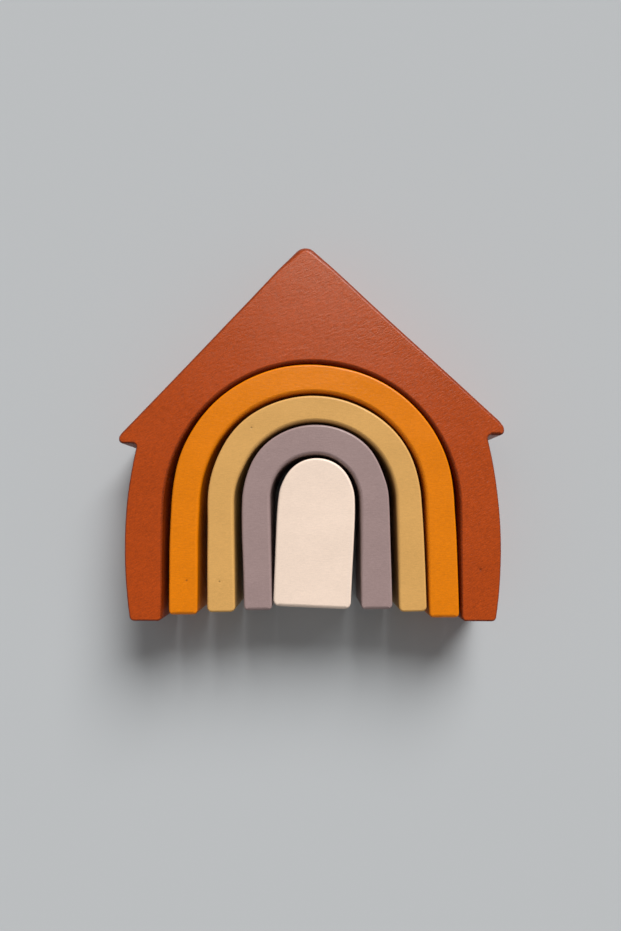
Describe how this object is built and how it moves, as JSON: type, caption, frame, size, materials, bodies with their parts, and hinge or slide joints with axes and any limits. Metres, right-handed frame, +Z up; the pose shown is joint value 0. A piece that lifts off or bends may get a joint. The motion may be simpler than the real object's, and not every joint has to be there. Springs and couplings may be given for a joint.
{
  "type": "nesting rainbow stacker",
  "caption": "Painted wooden nesting toy shaped like a house: a gabled outer piece with an arched opening that holds loose arch bars and a solid door block, to pull out, stack and nest again.",
  "frame": {"origin": "middle of the set's footprint, on the surface that it lies on", "axes": "+Z up, out of the front faces; +Y towards the ridge, +X to the right with the ridge at the top"},
  "size_m": [0.2022, 0.197, 0.04],
  "materials": {
    "rust_paint": "satin painted wood, rust red",
    "orange_paint": "satin painted wood, orange",
    "sand_paint": "satin painted wood, sand",
    "mauve_paint": "satin painted wood, mauve grey",
    "cream_paint": "satin painted wood, cream"
  },
  "bodies": {
    "house": {"house": "rust_paint"},
    "large_arch": {"large_arch": "orange_paint"},
    "middle_arch": {"middle_arch": "sand_paint"},
    "small_arch": {"small_arch": "mauve_paint"},
    "door_block": {"door_block": "cream_paint"}
  },
  "joints": [
    {"name": "large_arch_lift", "type": "slide", "parent": "house", "child": "large_arch", "axis": [0, 0, 1], "range_m": [0, 0.06]},
    {"name": "middle_arch_lift", "type": "slide", "parent": "house", "child": "middle_arch", "axis": [0, 0, 1], "range_m": [0, 0.06]},
    {"name": "small_arch_lift", "type": "slide", "parent": "house", "child": "small_arch", "axis": [0, 0, 1], "range_m": [0, 0.06]},
    {"name": "door_block_lift", "type": "slide", "parent": "house", "child": "door_block", "axis": [0, 0, 1], "range_m": [0, 0.06]}
  ]
}
